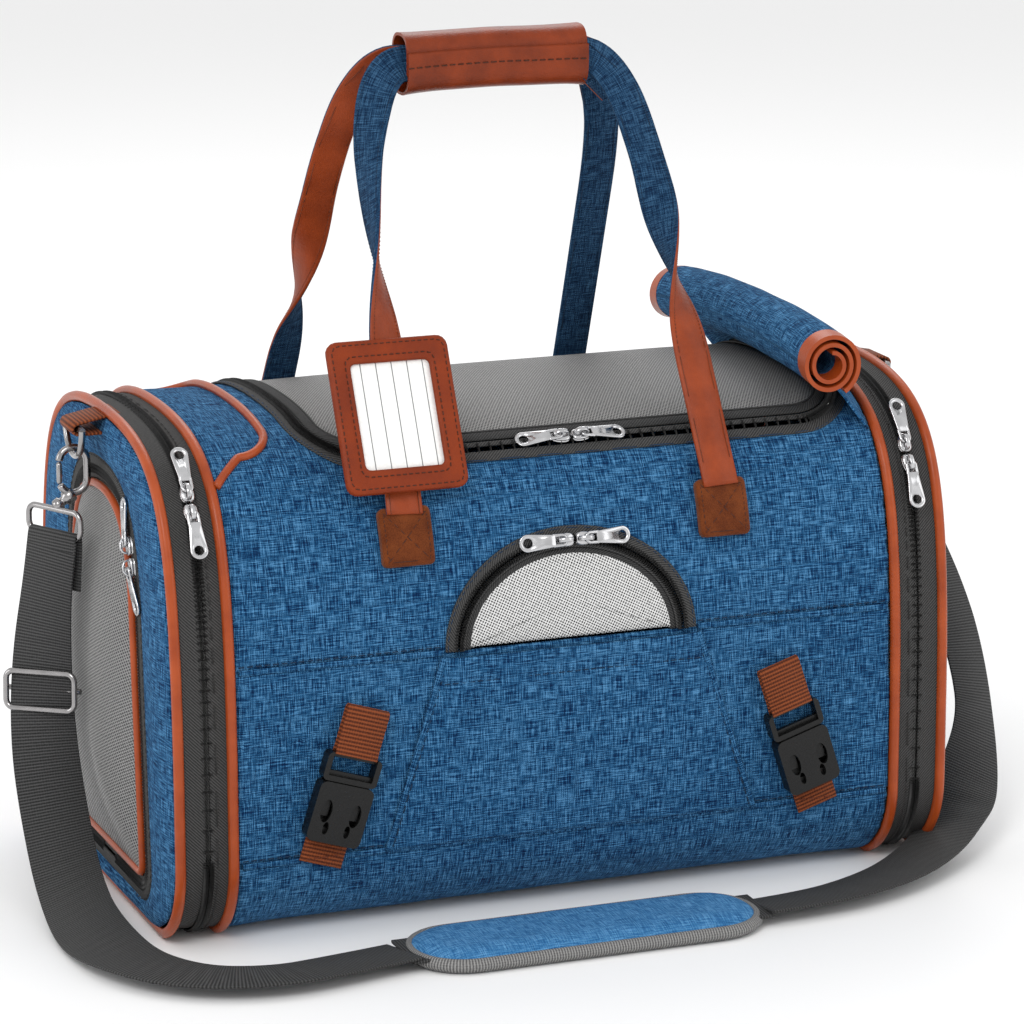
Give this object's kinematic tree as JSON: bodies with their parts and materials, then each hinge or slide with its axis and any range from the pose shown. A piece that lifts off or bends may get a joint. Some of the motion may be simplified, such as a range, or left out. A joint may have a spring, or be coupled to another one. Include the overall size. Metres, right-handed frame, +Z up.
{
  "type": "pet carrier bag",
  "caption": "Soft-sided pet carrier bag with zipped mesh doors, expandable ends, a front pocket, carry handles and a padded shoulder strap.",
  "frame": {"origin": "middle of the base, on the floor", "axes": "+X along the bag towards the end with the rolled flap, -Y the front with the pocket, +Z up"},
  "size_m": [0.5734, 0.352, 0.4819],
  "materials": {
    "canvas": "padded heathered canvas",
    "piping": "glossy covered cord",
    "tape": "twill zip tape",
    "mesh": "open mesh",
    "strap_leather": "smooth, stitched edges",
    "suede": "suede",
    "tan_webbing": "ribbed webbing",
    "grey_webbing": "ribbed webbing",
    "zip_metal": "polished",
    "dark_metal": "dark nickel, polished",
    "black_plastic": "moulded acetal",
    "card": "card stock",
    "board": "fibre board",
    "lining": "quilted fleece",
    "spring_wire": "spring wire"
  },
  "bodies": {
    "body": {"body_shell": "canvas", "base_board": "board", "bed_pad": "lining", "front_pocket": "canvas", "body_piping": "piping", "zip_tapes": "tape", "handle_patches": "suede", "wire_hoops": "spring_wire", "privacy_flap": "canvas", "buckle_sockets": "black_plastic", "buckle_anchor_straps": "tan_webbing", "body_sliders": "zip_metal", "shoulder_pad": "canvas"},
    "top_door": {"top_door": "mesh"},
    "window_flap": {"window_flap": "mesh"},
    "front_handle": {"front_handle": "strap_leather", "grip_wrap": "strap_leather", "tag_keeper": "strap_leather"},
    "back_handle": {"back_handle": "strap_leather"},
    "luggage_tag": {"tag_holder": "strap_leather", "tag_card": "card"},
    "left_end": {"left_end_panel": "canvas", "left_end_piping": "piping", "left_end_zip_tapes": "tape", "left_gusset": "mesh", "left_ring_tab": "tan_webbing", "left_d_ring": "dark_metal", "left_hook": "dark_metal", "left_door_sliders": "zip_metal", "strap_left_run": "grey_webbing", "strap_adjuster": "dark_metal"},
    "left_door": {"left_door": "mesh"},
    "left_gate": {"left_hook_gate": "dark_metal"},
    "left_plug": {"left_buckle_plug": "black_plastic", "left_buckle_loop": "tan_webbing"},
    "right_end": {"right_end_panel": "canvas", "right_end_piping": "piping", "right_end_zip_tapes": "tape", "right_gusset": "mesh", "right_ring_tab": "tan_webbing", "right_d_ring": "dark_metal", "right_hook": "dark_metal", "right_door_sliders": "zip_metal", "strap_right_run": "grey_webbing"},
    "right_door": {"right_door": "mesh"},
    "right_gate": {"right_hook_gate": "dark_metal"},
    "right_plug": {"right_buckle_plug": "black_plastic", "right_buckle_loop": "tan_webbing"},
    "left_expander_a_tab": {"left_expander_a_tab": "zip_metal"},
    "left_expander_b_tab": {"left_expander_b_tab": "zip_metal"},
    "right_expander_a_tab": {"right_expander_a_tab": "zip_metal"},
    "right_expander_b_tab": {"right_expander_b_tab": "zip_metal"},
    "top_door_a_tab": {"top_door_a_tab": "zip_metal"},
    "top_door_b_tab": {"top_door_b_tab": "zip_metal"},
    "window_a_tab": {"window_a_tab": "zip_metal"},
    "window_b_tab": {"window_b_tab": "zip_metal"},
    "left_door_a_tab": {"left_door_a_tab": "zip_metal"},
    "left_door_b_tab": {"left_door_b_tab": "zip_metal"},
    "right_door_a_tab": {"right_door_a_tab": "zip_metal"},
    "right_door_b_tab": {"right_door_b_tab": "zip_metal"}
  },
  "joints": [
    {"name": "left_expand", "type": "slide", "parent": "body", "child": "left_end", "axis": [-1, 0, 0], "range_m": [0, 0.23], "deforming": ["left_gusset", "strap_left_run"]},
    {"name": "left_door_hinge", "type": "hinge", "parent": "left_end", "child": "left_door", "pos_m": [-0.2275, 0, 0.0216], "axis": [0, 1, 0], "range_deg": [0, 90]},
    {"name": "left_gate_hinge", "type": "hinge", "parent": "left_end", "child": "left_gate", "pos_m": [-0.255, 0, 0.2392], "axis": [0, 1, 0], "range_deg": [0, 20], "stiffness_Nm_per_rad": 0.02},
    {"name": "left_buckle_slide", "type": "slide", "parent": "body", "child": "left_plug", "axis": [0.306, 0, 0.952], "range_m": [0, 0.025]},
    {"name": "right_expand", "type": "slide", "parent": "body", "child": "right_end", "axis": [1, 0, 0], "range_m": [0, 0.23], "deforming": ["right_gusset", "strap_right_run"]},
    {"name": "right_door_hinge", "type": "hinge", "parent": "right_end", "child": "right_door", "pos_m": [0.2275, 0, 0.0216], "axis": [0, -1, 0], "range_deg": [0, 90]},
    {"name": "right_gate_hinge", "type": "hinge", "parent": "right_end", "child": "right_gate", "pos_m": [0.255, 0, 0.2392], "axis": [0, -1, 0], "range_deg": [0, 20], "stiffness_Nm_per_rad": 0.02},
    {"name": "right_buckle_slide", "type": "slide", "parent": "body", "child": "right_plug", "axis": [-0.306, 0, 0.952], "range_m": [0, 0.025]},
    {"name": "top_door_hinge", "type": "hinge", "parent": "body", "child": "top_door", "pos_m": [0, 0.088, 0.25931], "axis": [1, 0, 0], "range_deg": [0, 75]},
    {"name": "window_hinge", "type": "hinge", "parent": "body", "child": "window_flap", "pos_m": [0, -0.13019, 0.158], "axis": [1, 0, 0], "range_deg": [0, 90]},
    {"name": "front_handle_hinge", "type": "hinge", "parent": "body", "child": "front_handle", "pos_m": [0, -0.118, 0.2378], "axis": [1, 0, 0], "range_deg": [0, 115]},
    {"name": "back_handle_hinge", "type": "hinge", "parent": "body", "child": "back_handle", "pos_m": [0, 0.118, 0.2378], "axis": [-1, 0, 0], "range_deg": [0, 115]},
    {"name": "tag_swing", "type": "hinge", "parent": "front_handle", "child": "luggage_tag", "pos_m": [-0.092, -0.08152, 0.3235], "axis": [-1, 0, 0], "range_deg": [0, 35]},
    {"name": "left_expander_a_tab_hinge", "type": "hinge", "parent": "body", "child": "left_expander_a_tab", "pos_m": [-0.2126, -0.10597, 0.25484], "axis": [1, 0, 0], "range_deg": [0, 95]},
    {"name": "left_expander_b_tab_hinge", "type": "hinge", "parent": "body", "child": "left_expander_b_tab", "pos_m": [-0.2126, -0.11346, 0.24496], "axis": [-1, 0, 0], "range_deg": [0, 95]},
    {"name": "right_expander_a_tab_hinge", "type": "hinge", "parent": "body", "child": "right_expander_a_tab", "pos_m": [0.2126, -0.11153, 0.24778], "axis": [1, 0, 0], "range_deg": [0, 95]},
    {"name": "right_expander_b_tab_hinge", "type": "hinge", "parent": "body", "child": "right_expander_b_tab", "pos_m": [0.2126, -0.11788, 0.23713], "axis": [-1, 0, 0], "range_deg": [0, 95]},
    {"name": "top_door_a_tab_hinge", "type": "hinge", "parent": "body", "child": "top_door_a_tab", "pos_m": [0.0078, -0.09415, 0.26573], "axis": [0, 0.8202, 0.5721], "range_deg": [0, 95]},
    {"name": "top_door_b_tab_hinge", "type": "hinge", "parent": "body", "child": "top_door_b_tab", "pos_m": [0.0202, -0.09415, 0.26573], "axis": [0, -0.8202, -0.5721], "range_deg": [0, 95]},
    {"name": "window_a_tab_hinge", "type": "hinge", "parent": "body", "child": "window_a_tab", "pos_m": [-0.0022, -0.1271, 0.21325], "axis": [0, 0.2612, 0.9653], "range_deg": [0, 95]},
    {"name": "window_b_tab_hinge", "type": "hinge", "parent": "body", "child": "window_b_tab", "pos_m": [0.0102, -0.1271, 0.21325], "axis": [0, -0.2612, -0.9653], "range_deg": [0, 95]},
    {"name": "left_door_a_tab_hinge", "type": "hinge", "parent": "left_end", "child": "left_door_a_tab", "pos_m": [-0.2349, -0.05766, 0.21456], "axis": [0, -0.9338, 0.3579], "range_deg": [0, 95]},
    {"name": "left_door_b_tab_hinge", "type": "hinge", "parent": "left_end", "child": "left_door_b_tab", "pos_m": [-0.2349, -0.0621, 0.20298], "axis": [0, 0.9338, -0.3579], "range_deg": [0, 95]},
    {"name": "right_door_a_tab_hinge", "type": "hinge", "parent": "right_end", "child": "right_door_a_tab", "pos_m": [0.2349, -0.05766, 0.21456], "axis": [0, 0.9338, -0.3579], "range_deg": [0, 95]},
    {"name": "right_door_b_tab_hinge", "type": "hinge", "parent": "right_end", "child": "right_door_b_tab", "pos_m": [0.2349, -0.0621, 0.20298], "axis": [0, -0.9338, 0.3579], "range_deg": [0, 95]}
  ]
}
